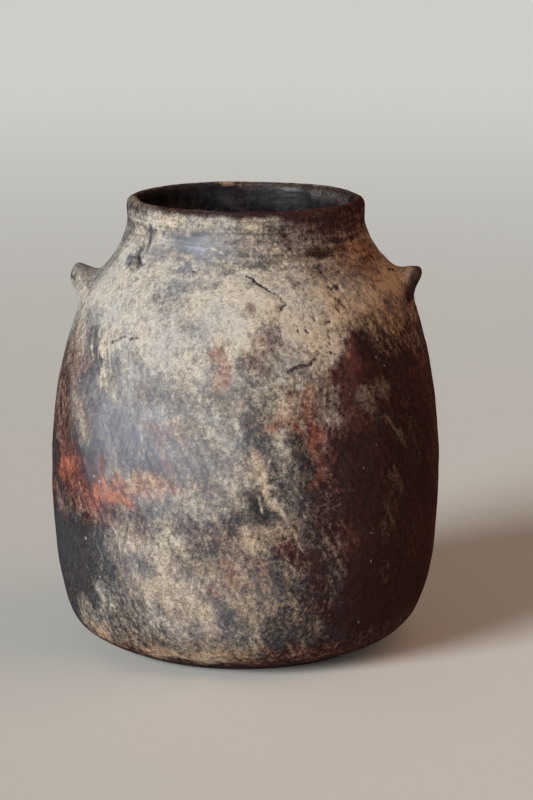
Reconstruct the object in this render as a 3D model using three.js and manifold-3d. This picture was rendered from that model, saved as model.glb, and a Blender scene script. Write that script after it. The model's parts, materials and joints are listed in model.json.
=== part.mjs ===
// A hand-built terracotta cooking pot with a barrel-shaped body, a short neck and two solid lugs.
// It is modelled in the pieces that its potter joins with slip before firing: a saucer-shaped base,
// strips of clay one above the other, a shoulder band, a neck band, a rim coil and the two lugs.
// Millimetres, +Z up. The origin is the centre of the flat underside. The lugs point along +X and -X.

import * as THREE from "three";
import { mergeVertices } from "three/addons/utils/BufferGeometryUtils.js";
import Module from "manifold-3d";

// Outside form of the wall, from the base up. A sweep, fullness or straight is the length of the
// handle that a curve leaves or reaches its end point with.
const baseFlatRadius = 49.3;
const heelRiseDegrees = 32;
const heelSweep = 16;
const bellyRadius = 77.45;
const bellyHeight = 74.3;
const lowerFullness = 75.5;
const upperFullness = 37.7;
const shoulderRise = 80.2;
const shoulderRadius = 55;
const shoulderSlopeDegrees = 49.3;
const shoulderFullness = 15.6;
const neckSweep = 5.1;
const throatRise = 16;
const throatRadius = 46.65;
const throatStraight = 3.2;

// Lip, above the throat
const lipRise = 6.8;
const lipStraight = 2.3;
const lipProud = 0.5;
const lipCrown = 2.7;
const lipLand = 1.6;

// Thickness of the clay
const floorThickness = 8;
const wallThickness = 6;
const lipThickness = 5.4;

// How the clay is laid up
const baseBandHeight = 24;
const shoulderBandHeight = 26;
const stripNames = ["wall_strip_1", "wall_strip_2", "wall_strip_3", "wall_strip_4"];
const jointLap = 3.5;

// Lugs. They are set by the wall's face at the middle of their root.
const lugTopBelowNeck = 3.4;
const lugRootInset = 9.7;
const lugProjection = 5.9;
const lugRootHalfWidth = 11;
const lugTipHalfWidth = 4.6;
const lugRootDepth = 18;
const lugTipDepth = 7.2;
const lugTipRounding = 3.5;
const lugSideFlare = 2;
const lugUnderFlare = 4;
const rightLugTipRise = 1;
const leftLugTipRise = 2.8;
const slipGap = 0.3;

// Fineness of the facets
const facetsAround = 60;
const rowHeight = 7;
const heelRowHeight = 5;
const lipRowHeight = 3.5;
const lipArcRows = 3;
const lineSamples = 160;
const lugRings = 9;
const lugFacets = 22;
const weldDistance = 1e-4;

// Heights and radii that follow from the sizes above
const neckJointHeight = bellyHeight + shoulderRise;
const throatHeight = neckJointHeight + throatRise;
const lipHeight = throatHeight + lipRise;
const lipRadius = throatRadius + lipProud;
const shoulderJointHeight = neckJointHeight - shoulderBandHeight;
const stripHeight = (shoulderJointHeight - baseBandHeight) / stripNames.length;
const lugTopHeight = neckJointHeight - lugTopBelowNeck;

const clay = {
  bare: { color: 0x7a6a52, roughness: 0.75, metalness: 0 },
  smoked: { color: 0x3d3835, roughness: 0.55, metalness: 0 },
  flashed: { color: 0x7b4634, roughness: 0.6, metalness: 0 },
};

const wasm = await Module();
wasm.setup();

// A cubic curve from start to end, with each handle given as a length and a direction in radians.
function sweep(start, startHandle, startAngle, end, endHandle, endAngle) {
  const leave = new THREE.Vector2(Math.cos(startAngle), Math.sin(startAngle));
  const arrive = new THREE.Vector2(Math.cos(endAngle), Math.sin(endAngle));
  return new THREE.CubicBezierCurve(
    start,
    start.clone().addScaledVector(leave, startHandle),
    end.clone().addScaledVector(arrive, -endHandle),
    end,
  );
}

// The outside line of the wall as x = radius and y = height, from the flat base to the lip.
function outsideCurves() {
  const up = Math.PI / 2;
  const heelAngle = THREE.MathUtils.degToRad(heelRiseDegrees);
  const shoulderAngle = up + THREE.MathUtils.degToRad(shoulderSlopeDegrees);
  const foot = new THREE.Vector2(baseFlatRadius, 0);
  const belly = new THREE.Vector2(bellyRadius, bellyHeight);
  const shoulder = new THREE.Vector2(shoulderRadius, neckJointHeight);
  const throat = new THREE.Vector2(throatRadius, throatHeight);
  const lip = new THREE.Vector2(lipRadius, lipHeight);
  return [
    sweep(foot, heelSweep, heelAngle, belly, lowerFullness, up),
    sweep(belly, upperFullness, up, shoulder, shoulderFullness, shoulderAngle),
    sweep(shoulder, neckSweep, shoulderAngle, throat, throatStraight, up),
    sweep(throat, lipStraight, up, lip, lipStraight, up),
  ];
}

// How thick the wall is at a height: it thins from the floor to the belly, and again to the lip.
function thicknessAt(height) {
  if (height < bellyHeight) {
    return THREE.MathUtils.mapLinear(height, 0, bellyHeight, floorThickness, wallThickness);
  }
  return THREE.MathUtils.mapLinear(height, bellyHeight, lipHeight, wallThickness, lipThickness);
}

// Points close together along the outside line, and the inside line at the wall's thickness from it.
function wallLines() {
  const outside = [];
  const inside = [];
  for (const curve of outsideCurves()) {
    for (let i = outside.length ? 1 : 0; i <= lineSamples; i++) {
      const point = curve.getPoint(i / lineSamples);
      const along = curve.getTangent(i / lineSamples);
      const inwards = new THREE.Vector2(-along.y, along.x);
      outside.push(point);
      inside.push(point.clone().addScaledVector(inwards, thicknessAt(point.y)));
    }
  }
  return { outside, inside };
}

const { outside, inside } = wallLines();

// The point of a line at a height.
function pointAt(line, height) {
  const next = Math.max(1, line.findIndex((p) => p.y >= height));
  const [below, above] = [line[next - 1], line[next]];
  const share = (height - below.y) / (above.y - below.y);
  return below.clone().lerp(above, share);
}

// Points spaced evenly along a line between two heights, about spacing apart.
function stretch(line, low, high, spacing) {
  const between = line.filter((p) => p.y > low && p.y < high);
  const points = [pointAt(line, low), ...between, pointAt(line, high)];
  const lengths = [0];
  for (let i = 1; i < points.length; i++) {
    lengths.push(lengths[i - 1] + points[i].distanceTo(points[i - 1]));
  }
  const whole = lengths.at(-1);
  const rows = Math.max(1, Math.round(whole / spacing));
  const spaced = [points[0]];
  for (let row = 1; row < rows; row++) {
    const target = (whole * row) / rows;
    const next = lengths.findIndex((length) => length >= target);
    const share = (target - lengths[next - 1]) / (lengths[next] - lengths[next - 1]);
    spaced.push(points[next - 1].clone().lerp(points[next], share));
  }
  return [...spaced, points.at(-1)];
}

// Turns a profile of x = radius and y = height round the pot's axis.
function turned(profile) {
  return new THREE.LatheGeometry(profile, facetsAround).rotateX(Math.PI / 2);
}

// The heights at which each band of the wall starts and ends outside, from the lowest strip to the neck.
function wallBands() {
  const strips = stripNames.map((name, i) => {
    const low = baseBandHeight + i * stripHeight;
    const high = i + 1 < stripNames.length ? low + stripHeight : shoulderJointHeight;
    return { name, low, high, finish: i % 2 ? clay.flashed : clay.smoked };
  });
  return [
    ...strips,
    { name: "shoulder", low: shoulderJointHeight, high: neckJointHeight, finish: clay.bare },
    { name: "neck", low: neckJointHeight, high: throatHeight, finish: clay.bare },
  ];
}

// A ring of clay between two joints. Each joint slopes down towards the inside, where the upper
// piece laps over the lower one.
function bandProfile({ low, high }) {
  const outer = stretch(outside, low, high, rowHeight);
  const inner = stretch(inside, low - jointLap, high - jointLap, rowHeight).reverse();
  return [...outer, ...inner, outer[0]];
}

function baseProfile() {
  const outer = stretch(outside, 0, baseBandHeight, heelRowHeight);
  const inner = stretch(inside, floorThickness, baseBandHeight - jointLap, heelRowHeight).reverse();
  return [new THREE.Vector2(0, 0), ...outer, ...inner, new THREE.Vector2(0, floorThickness)];
}

// A quarter of an ellipse from angle start to angle end, round one end of the lip's flat land.
function lipArc(centreRadius, reach, start, end) {
  const points = [];
  for (let i = 0; i <= lipArcRows; i++) {
    const angle = THREE.MathUtils.lerp(start, end, i / lipArcRows);
    const radius = centreRadius + reach * Math.cos(angle);
    points.push(new THREE.Vector2(radius, lipHeight + lipCrown * Math.sin(angle)));
  }
  return points;
}

function rimProfile() {
  const outer = stretch(outside, throatHeight, lipHeight, lipRowHeight);
  const inner = stretch(inside, throatHeight - jointLap, lipHeight, lipRowHeight).reverse();
  const lipInside = inner[0].x;
  const middle = (lipRadius + lipInside) / 2;
  const reach = (lipRadius - lipInside - lipLand) / 2;
  const outerArc = lipArc(middle + lipLand / 2, reach, 0, Math.PI / 2);
  const innerArc = lipArc(middle - lipLand / 2, reach, Math.PI / 2, Math.PI);
  return [...outer, ...outerArc.slice(1), ...innerArc.slice(0, -1), ...inner, outer[0]];
}

// A lug as it is rolled: an oval section that tapers and rises from inside the wall to a round tip.
function rolledLug(tipRise) {
  const wallFace = pointAt(outside, lugTopHeight - lugRootDepth / 2).x;
  const root = wallFace - lugRootInset;
  const tip = wallFace + lugProjection;
  const tipTop = lugTopHeight + tipRise;
  const positions = [];
  for (let ring = 0; ring < lugRings; ring++) {
    const share = Math.sin((ring / lugRings) * (Math.PI / 2));
    const out = THREE.MathUtils.lerp(root, tip, share);
    const top = THREE.MathUtils.lerp(lugTopHeight, tipTop, share);
    const underside = share ** lugUnderFlare;
    const bottom = THREE.MathUtils.lerp(lugTopHeight - lugRootDepth, tipTop - lugTipDepth, underside);
    const side = share ** lugSideFlare;
    const halfWidth = THREE.MathUtils.lerp(lugRootHalfWidth, lugTipHalfWidth, side);
    const intoTip = Math.max(0, 1 - (tip - out) / lugTipRounding);
    const dome = Math.sqrt(1 - intoTip ** 2);
    for (let i = 0; i < lugFacets; i++) {
      const angle = (2 * Math.PI * i) / lugFacets;
      const across = halfWidth * dome * Math.cos(angle);
      const height = (top + bottom) / 2 + ((top - bottom) / 2) * dome * Math.sin(angle);
      positions.push(out, across, height);
    }
  }
  const tipPoint = lugRings * lugFacets;
  const rootPoint = tipPoint + 1;
  positions.push(tip, 0, tipTop - lugTipDepth / 2);
  positions.push(root, 0, lugTopHeight - lugRootDepth / 2);
  const lastRing = (lugRings - 1) * lugFacets;
  const faces = [];
  for (let i = 0; i < lugFacets; i++) {
    const next = (i + 1) % lugFacets;
    for (let ring = 0; ring < lastRing; ring += lugFacets) {
      const [a, b, c, d] = [ring + i, ring + next, ring + lugFacets + next, ring + lugFacets + i];
      faces.push(a, b, c, a, c, d);
    }
    faces.push(lastRing + i, lastRing + next, tipPoint);
    faces.push(next, i, rootPoint);
  }
  const lug = new THREE.BufferGeometry();
  lug.setAttribute("position", new THREE.Float32BufferAttribute(positions, 3));
  lug.setIndex(faces);
  return lug;
}

// The outside of the upper wall as a solid core, grown by the layer of slip, that a lug's root is
// pressed against.
function slipCore() {
  const upperWall = wallBands().slice(-3);
  const low = upperWall[0].low;
  const rows = [pointAt(outside, low)];
  for (const band of upperWall) {
    rows.push(...stretch(outside, band.low, band.high, rowHeight).slice(1));
  }
  const grown = rows.map((p) => new THREE.Vector2(p.x + slipGap, p.y));
  return turned([new THREE.Vector2(0, low), ...grown, new THREE.Vector2(0, throatHeight)]);
}

function solidOf(geometry) {
  const bare = new THREE.BufferGeometry();
  bare.setAttribute("position", geometry.attributes.position);
  bare.setIndex(geometry.index);
  const merged = mergeVertices(bare, weldDistance);
  return new wasm.Manifold(
    new wasm.Mesh({
      numProp: 3,
      vertProperties: merged.attributes.position.array,
      triVerts: new Uint32Array(merged.index.array),
    }),
  );
}

function geometryOf(solid) {
  const { vertProperties, triVerts } = solid.getMesh();
  const geometry = new THREE.BufferGeometry();
  geometry.setAttribute("position", new THREE.BufferAttribute(vertProperties, 3));
  geometry.setIndex(new THREE.BufferAttribute(triVerts, 1));
  geometry.computeVertexNormals();
  return geometry;
}

// A rolled lug with its root cut to the curve of the shoulder, turned to its side of the pot.
function lugGeometry(tipRise, turn) {
  const cut = solidOf(rolledLug(tipRise)).subtract(solidOf(slipCore()));
  return geometryOf(cut).rotateZ(turn);
}

const pot = new THREE.Group();

function addPiece(name, geometry, finish) {
  const mesh = new THREE.Mesh(geometry, new THREE.MeshStandardMaterial(finish));
  mesh.name = name;
  pot.add(mesh);
}

addPiece("base", turned(baseProfile()), clay.smoked);
for (const band of wallBands()) {
  addPiece(band.name, turned(bandProfile(band)), band.finish);
}
addPiece("rim", turned(rimProfile()), clay.flashed);
addPiece("lug_right", lugGeometry(rightLugTipRise, 0), clay.bare);
addPiece("lug_left", lugGeometry(leftLugTipRise, Math.PI), clay.bare);

export default pot;
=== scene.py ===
"""A hand-built clay cooking pot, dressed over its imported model.

The wall is modelled once as a closed sheet of clay, worked by hand all over, and then cut along the
potter's joints into the base, the strips, the shoulder, the neck and the rim. The lugs are luted onto it
before the cut. Dust, fire marks, soot and scars are painted as strokes, placed by azimuth and height:
azimuth 0 faces the camera and grows to the right, and height is measured from the floor.
"""

import json
import math

import bpy
import numpy as np
from bpy.props import FloatProperty, FloatVectorProperty, IntProperty, PointerProperty
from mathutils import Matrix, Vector
from mathutils.bvhtree import BVHTree


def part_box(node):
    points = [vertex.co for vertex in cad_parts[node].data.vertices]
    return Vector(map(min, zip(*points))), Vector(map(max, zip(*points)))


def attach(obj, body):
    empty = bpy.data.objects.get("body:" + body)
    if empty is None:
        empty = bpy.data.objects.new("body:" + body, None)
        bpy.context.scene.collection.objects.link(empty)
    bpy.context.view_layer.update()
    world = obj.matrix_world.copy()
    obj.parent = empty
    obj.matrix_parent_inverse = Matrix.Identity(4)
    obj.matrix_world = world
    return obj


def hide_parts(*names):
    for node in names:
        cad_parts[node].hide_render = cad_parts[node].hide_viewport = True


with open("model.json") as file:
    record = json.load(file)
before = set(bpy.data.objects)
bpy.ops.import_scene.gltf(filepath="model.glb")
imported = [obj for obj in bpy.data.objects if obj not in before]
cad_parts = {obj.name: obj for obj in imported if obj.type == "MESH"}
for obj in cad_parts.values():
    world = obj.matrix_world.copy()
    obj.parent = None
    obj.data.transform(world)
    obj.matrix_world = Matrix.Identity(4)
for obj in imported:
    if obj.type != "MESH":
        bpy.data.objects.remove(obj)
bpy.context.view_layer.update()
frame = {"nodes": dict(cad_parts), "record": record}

bl_info = {
    "name": "Clay cooking pot",
    "version": (1, 0, 0),
    "blender": (4, 5, 0),
    "location": "View3D > Sidebar > Pot",
    "description": "Models the wall, the lugs and the stage of a hand-built clay cooking pot",
    "category": "Add Mesh",
}

BODY = "root"
STRIPS = ("wall_strip_1", "wall_strip_2", "wall_strip_3", "wall_strip_4")
WALL = ("base", *STRIPS, "shoulder", "neck", "rim")
LUGS = {"lug_right": 1, "lug_left": -1}
SLOTS = {part["node"]: part["material_slot"] for part in frame["record"]["subparts"]}
MM = 0.001


def length(name, description, default):
    return FloatProperty(name=name, description=description, default=default, unit="LENGTH", precision=5)


def colour(name, description, default):
    return FloatVectorProperty(
        name=name, description=description, default=default, size=3, subtype="COLOR", min=0, max=1)


class PotShape(bpy.types.PropertyGroup):
    """Sizes of the modelled clay."""

    sides: IntProperty(name="Sides", description="Sides of the wall's cage", default=120, min=12)
    levels: IntProperty(name="Levels", description="Times the cage is subdivided", default=3, min=0, max=4)
    outer_row: length("Outer row", "Spacing of the cage's rings outside", 4.2 * MM)
    heel_row: length("Heel row", "Spacing of the cage's rings outside the base", 5.4 * MM)
    inner_row: length("Inner row", "Spacing of the cage's rings inside the belly", 12 * MM)
    mouth_row: length("Mouth row", "Spacing of the cage's rings inside the mouth", 6 * MM)
    lip_round: length("Lip rounding", "Depth below the crest where the lip's rounding starts", 2.9 * MM)
    floor_round: length("Floor rounding", "Radius of the ring inside the floor's edge", 36 * MM)
    swell: length("Swell", "How far the belly's skin stands out past the packed model's facets", 0.3 * MM)
    dent_depth: length("Dent depth", "Swing of the broad dents left by beating the wall", 0.45 * MM)
    press_depth: length("Press depth", "Swing of the shallow marks left by the fingers", 0.22 * MM)
    stroke_depth: length("Stroke depth", "Depth of the burnishing strokes", 0.09 * MM)
    grit_depth: length("Grit depth", "Height of the grit that stands in the skin", 0.035 * MM)


class PotFinish(bpy.types.PropertyGroup):
    """Colours of the fired skin, with a painted reflection of the window and a partly painted shine."""

    bloom: FloatProperty(name="Bloom", description="How thick the dust lies", default=1.3, min=0, max=2)
    slate: colour("Slate", "Clay that the fire turned grey", (0.046, 0.044, 0.048))
    umber: colour("Umber", "Clay between grey and red", (0.049, 0.0245, 0.0235))
    russet: colour("Russet", "Clay that the flame turned brown-red", (0.105, 0.043, 0.036))
    red: colour("Red", "Clay that the flame turned red", (0.215, 0.070, 0.050))
    orange: colour("Orange", "Clay that burned clean", (0.405, 0.142, 0.078))
    dust: colour("Dust", "Thin dry bloom on the skin", (0.350, 0.285, 0.215))
    cream: colour("Cream", "Thick dry bloom on the skin", (0.670, 0.575, 0.440))
    tan: colour("Tan", "Bloom that the flame warmed", (0.600, 0.385, 0.220))
    # This colour is an ash layer which on the lit front left is partly a painted bluish shine of the window.
    haze_and_painted_shine: colour("Haze_and_painted_shine", "Film of ash over the grey clay", (0.272, 0.267, 0.300))
    # This colour is a painted bluish reflection of the window, laid into the skin on the polished spots.
    painted_reflection: colour("Painted_reflection", "Cold film on the polished skin", (0.290, 0.320, 0.400))
    ash: colour("Ash", "Cold grey bloom on the skin", (0.470, 0.460, 0.450))
    scorch: colour("Scorch", "Clay that the smoke browned", (0.021, 0.0088, 0.0086))
    soot: colour("Soot", "Carbon burned into the skin", (0.012, 0.010, 0.012))
    lime: colour("Lime", "Specks of lime in the clay", (0.640, 0.600, 0.520))


class PotStage(bpy.types.PropertyGroup):
    """The floor, the light and the camera."""

    floor: colour("Floor", "Colour of the floor", (0.860, 0.830, 0.770))
    glow: colour("Glow", "What the camera sees added to the floor", (1.000, 0.975, 0.920))
    sky: colour("Sky", "Colour of the surroundings", (0.600, 0.570, 0.540))
    window: colour("Window", "Colour of the main light", (0.93, 0.97, 1.0))
    bounce: colour("Bounce", "Colour of the light from the right", (1.0, 0.55, 0.31))


HUES = (
    "slate", "umber", "russet", "red", "orange", "dust", "cream", "tan", "haze_and_painted_shine", "painted_reflection", "ash", "scorch",
    "soot", "lime",
)

# The tables below hold strokes of the brush: azimuth and height of the start, azimuth and height of the
# end, reach in millimetres, and the level that the stroke leaves. In a wash each stroke covers those
# before it. Of scars and chalk marks, the strongest one counts at each point.

# The pale dust that lies on the skin.

DUST = (
    # Broad grounds on the left, on the right and behind
    (-90, 90, -50, 30, 40, 0.04), (30, 90, 90, 90, 70, -0.20), (90, 90, 180, 90, 60, 0.05),
    (-180, 90, -95, 90, 60, 0.05),
    # Broad washes over the front, from the shoulder down
    (-85, 146, -20, 146, 20, 0.79), (-20, 146, 20, 147, 18, 0.78), (20, 148, 50, 149, 14, 0.63),
    (50, 149, 85, 151, 12, 0.50), (-45, 128, -18, 126, 16, 0.84), (-12, 140, 25, 136, 12, 0.79),
    (-84, 132, -68, 126, 12, 0.45), (-66, 122, -50, 104, 12, 0.25), (-88, 112, -68, 96, 14, 0.20),
    (-40, 108, -15, 100, 14, 0.53), (-8, 110, -4, 88, 14, 0.67), (8, 118, 12, 96, 10, 0.38),
    (-50, 96, -40, 88, 10, 0.28), (-22, 90, -16, 76, 12, 0.50), (-5, 80, 5, 66, 12, 0.42),
    (12, 85, 14, 66, 9, 0.30), (-35, 56, -10, 40, 18, 0.52), (-38, 36, -14, 24, 15, 0.50),
    (-22, 45, -14, 30, 11, 0.62), (-4, 50, 4, 28, 14, 0.42), (10, 50, 14, 28, 10, 0.15),
    (30, 104, 36, 60, 16, 0.05), (52, 118, 74, 110, 14, -0.05), (42, 126, 44, 40, 20, -0.16),
    (-80, 56, -52, 36, 16, 0.00), (-60, 18, -30, 14, 9, 0.28), (-20, 16, 0, 14, 8, 0.40),
    (10, 14, 30, 12, 8, 0.15), (30, 14, 60, 12, 8, 0.07),
    # The neck
    (-85, 168, -58, 166, 9, 0.34), (-60, 168, -50, 165, 5, 0.66), (-44, 168, -34, 168, 5, 0.66),
    (-30, 168, -14, 169, 6, 0.14), (-12, 168, 8, 168, 6, 0.50), (10, 167, 20, 169, 6, 0.42),
    (-75, 174, -52, 174.5, 3, 0.54), (-50, 174.5, -30, 174.5, 3, 0.74),
    (-30, 174.5, 10, 174.5, 2.6, 0.56), (12, 174.5, 24, 173, 3, 0.30), (23, 171, 30, 170, 4, 0.14),
    (30, 166, 85, 166, 8, 0.28), (34, 169, 52, 171, 3, 0.30), (40, 174, 88, 174, 5, 0.06),
    # The shoulder
    (-48, 156, -24, 158, 3, 0.66), (-66, 158, -56, 149, 7, 0.96), (-50, 152, -34, 150, 6, 0.80),
    (-32, 148, -20, 147, 4.6, 0.52), (-32, 157, -2, 158, 1.8, 0.52), (-30, 152, -10, 153, 2, 0.46),
    (-16, 145, 0, 147, 7, 0.92), (-9, 142, -1, 139, 5, 0.94), (-24, 141, -17, 138, 4, 0.58),
    (16, 149, 28, 146, 7, 0.71), (-84, 143, -74, 142, 6, 0.90), (3, 158, 8, 156, 3, 0.70),
    (-18, 134, -13, 130, 3.5, 0.72), (-26, 138, -22, 130, 5, 0.76), (14, 158, 26, 155, 4, 0.44),
    (3, 156, 14, 154, 4, 0.66), (0, 163, 12, 162, 3, 0.34), (36, 147, 60, 147, 5, 0.56),
    (36, 157, 54, 158, 3, 0.38), (62, 151, 80, 150, 5, 0.74), (16, 133, 27, 132, 8, 0.84),
    (8, 134, 12, 126, 6, 0.34), (28, 141, 46, 141, 5, 0.62), (42, 137, 58, 136, 5, 0.38),
    # The belly
    (-66, 126, -62, 104, 4, 0.26), (-60, 132, -46, 119, 5, 0.18), (-55, 136, -46.6, 113, 1.3, 0.86),
    (-51.6, 135, -45.4, 118, 1.1, 0.80), (-60, 132, -56, 122, 1.4, 0.58), (-48, 122, -44, 112, 3, 0.52),
    (-44, 126, -42, 118, 3, 0.46), (-36, 120, -22, 116, 7, 0.58), (-58, 104, -54, 96, 5, 0.46),
    (-44, 98, -40, 94, 4, 0.46), (-38, 104, -34, 90, 5, 0.36), (-36, 80, -24, 70, 7, 0.42),
    (-26, 112, -18, 108, 5, 0.42), (-10, 118, -5, 113, 4, 0.42), (-2, 122, 6, 112, 6, 0.44),
    (8, 119, 22, 118, 4.5, 0.56), (13, 109, 22, 104, 6, 0.52), (24, 112, 28, 104, 6, 0.38),
    (8, 127, 22, 124, 5, 0.54), (20, 120, 26, 114, 4, 0.34), (-10, 108, -5, 100, 6, 0.56),
    (-3, 88, 0, 84, 4, 0.52), (3, 90, 9, 70, 2.6, 0.66), (10, 98, 11, 86, 3.4, 0.58),
    (15, 98, 17, 80, 4, 0.22), (-5, 82, -3, 80, 3, 0.70), (-20, 78, -14, 71, 5, 0.60),
    (-9, 73, -6, 69, 4, 0.52), (4, 75, 5, 66, 4, 0.10), (-2, 66, 6, 68, 4, 0.16), (1, 62, 3, 56, 4, 0.68),
    (6, 64, 10, 61, 3, 0.48), (-12, 60, -8, 52, 5, 0.26), (-70, 84, -48, 76, 8, 0.06),
    (-58, 70, -46, 64, 8, 0.11), (-42, 83, -40, 79, 3.4, 0.40), (-74, 66, -56, 62, 6, 0.21),
    # The lower wall
    (-34, 66, -30, 63, 5, 0.30), (-24, 62, -21, 58, 4, 0.58), (-33, 56, -28, 50, 5, 0.62),
    (-28, 50, -22, 44, 6, 0.66), (-30, 43, -24, 38, 5, 0.70), (-20, 36, -12, 28, 6, 0.62),
    (-20, 48, -12, 44, 5, 0.62), (-34, 48, -30, 46, 4, 0.34), (-18, 50, -16, 46, 4, 0.42),
    (-24, 26, -18, 22, 5, 0.46), (-48, 34, -46, 29, 4, 0.54), (-60, 24, -50, 21, 5, 0.30),
    (-62, 16, -52, 13, 5, 0.46), (-70, 61, -66, 60, 3.4, 0.26), (-9, 38, -4, 26, 3.5, 0.20),
    (4, 42, 8, 34, 4, 0.36), (8, 50, 16, 43, 5, 0.31), (14, 33, 22, 20, 6, 0.20),
    (20, 60, 26, 52, 5, 0.24), (-4, 24, 2, 20, 5, 0.30),
    # Streaks and smears
    (19, 112, 22, 86, 4, 0.21), (24, 76, 27, 34, 7, 0.14), (-10.5, 130, -7.6, 120, 4.6, 0.58),
    (-24, 97, -22, 84, 3, 0.36), (0.4, 146, 1, 145, 1.6, 0.60), (-32, 9, -8, 8.6, 3.6, 0.50),
    # The right side
    (36, 112, 40, 110, 4, 0.34), (43, 115, 46, 112, 4, 0.36), (38, 106, 42, 103, 4, 0.30),
    (46, 102, 52, 91, 2.4, 0.24), (46, 80, 52, 72, 5, 0.20), (44, 68, 47, 60, 5, 0.18),
    (43, 58, 45, 54, 4, 0.18), (44, 42, 47, 38, 4, 0.18), (56, 104, 60, 82, 6, 0.10),
    (46, 134, 58, 136, 5, 0.34), (58, 136, 80, 137, 6, 0.30), (48, 127, 78, 126, 6, 0.17),
    (50, 156, 64, 155, 4, 0.29),
    # The back
    (100, 150, 140, 148, 16, 0.52), (140, 146, 200, 150, 17, 0.62), (200, 148, 262, 146, 17, 0.58),
    (100, 112, 120, 92, 16, 0.28), (140, 124, 164, 90, 18, 0.46), (196, 74, 176, 40, 19, 0.54),
    (214, 102, 240, 82, 16, 0.40), (236, 52, 256, 38, 14, 0.36), (124, 52, 100, 34, 14, 0.22),
    (186, 60, 180, 46, 8, 0.68), (150, 118, 158, 104, 8, 0.60), (150, 166, 190, 170, 6, 0.26),
    (205, 164, 245, 168, 6, 0.44), (110, 168, 138, 164, 6, 0.30), (170, 20, 210, 16, 8, 0.34),
    # The lip and the last touches
    (-180, 182, -85, 182, 3.4, 0.26), (90, 182, 180, 182, 3.4, 0.22), (-98, 150, -82, 150, 8, 0.46),
    (-88, 181, -52, 181, 3, 0.38), (-50, 176.8, 14, 177, 1.7, 0.58), (105, 176, 140, 177, 3, 0.27),
    (150, 178.5, 184, 178.6, 1.5, 0.26), (-44, 76, -39, 71, 4, 0.39), (-34, 79, -25, 77, 4, 0.60),
    (-72, 134, -64, 123, 4.4, 0.55), (-52.4, 172, -51, 165, 1.3, 0.26),
    (-56, 163, -51.4, 157.6, 1.8, 0.20), (-61, 158.8, -55, 157.6, 1.5, 0.26),
    (-30, 157.6, -24, 157.8, 1.0, 0.20), (-52, 182, -8, 182, 3, 0.22), (-8, 182, 88, 182, 3.6, 0.02),
    (190, 180, 192, 179.6, 1.8, 0.50),
)

# The layer of ash over the grey clay, partly a painted shine of the window on the lit front left.

HAZE_AND_PAINTED_SHINE = (
    # The front
    (-85, 148, -20, 148, 18, 0.75), (-20, 146, 14, 146, 12, 0.42), (40, 149, 80, 150, 9, 0.35),
    (-43, 128, -14, 126, 18, 0.95), (-42, 100, -18, 94, 20, 0.90), (-14, 112, -4, 92, 14, 0.55),
    (-40, 77, -14, 74, 12, 0.65), (-36, 50, -14, 32, 16, 0.42), (-10, 60, 0, 40, 12, 0.25),
    (-60, 160, -12, 168, 8, 0.75), (-62, 122, -56, 100, 9, 0.35), (-66, 50, -50, 40, 14, 0.03),
    (0, 130, 16, 128, 10, 0.18), (-98, 150, -82, 150, 7, 0.45), (-24, 97, -22, 84, 3, 0.92),
    (-60, 131, -47, 119, 5, 0.30), (-11, 131, -7, 119, 4.6, 0.55), (-32, 148, -20, 147, 4.6, 0.40),
    (-58, 166, -51, 157, 4, 0.30),
    # The back
    (120, 148, 240, 148, 20, 0.60), (150, 120, 210, 90, 26, 0.55),
)

# How the clay burned, from grey at 0 to orange at 1.

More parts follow.
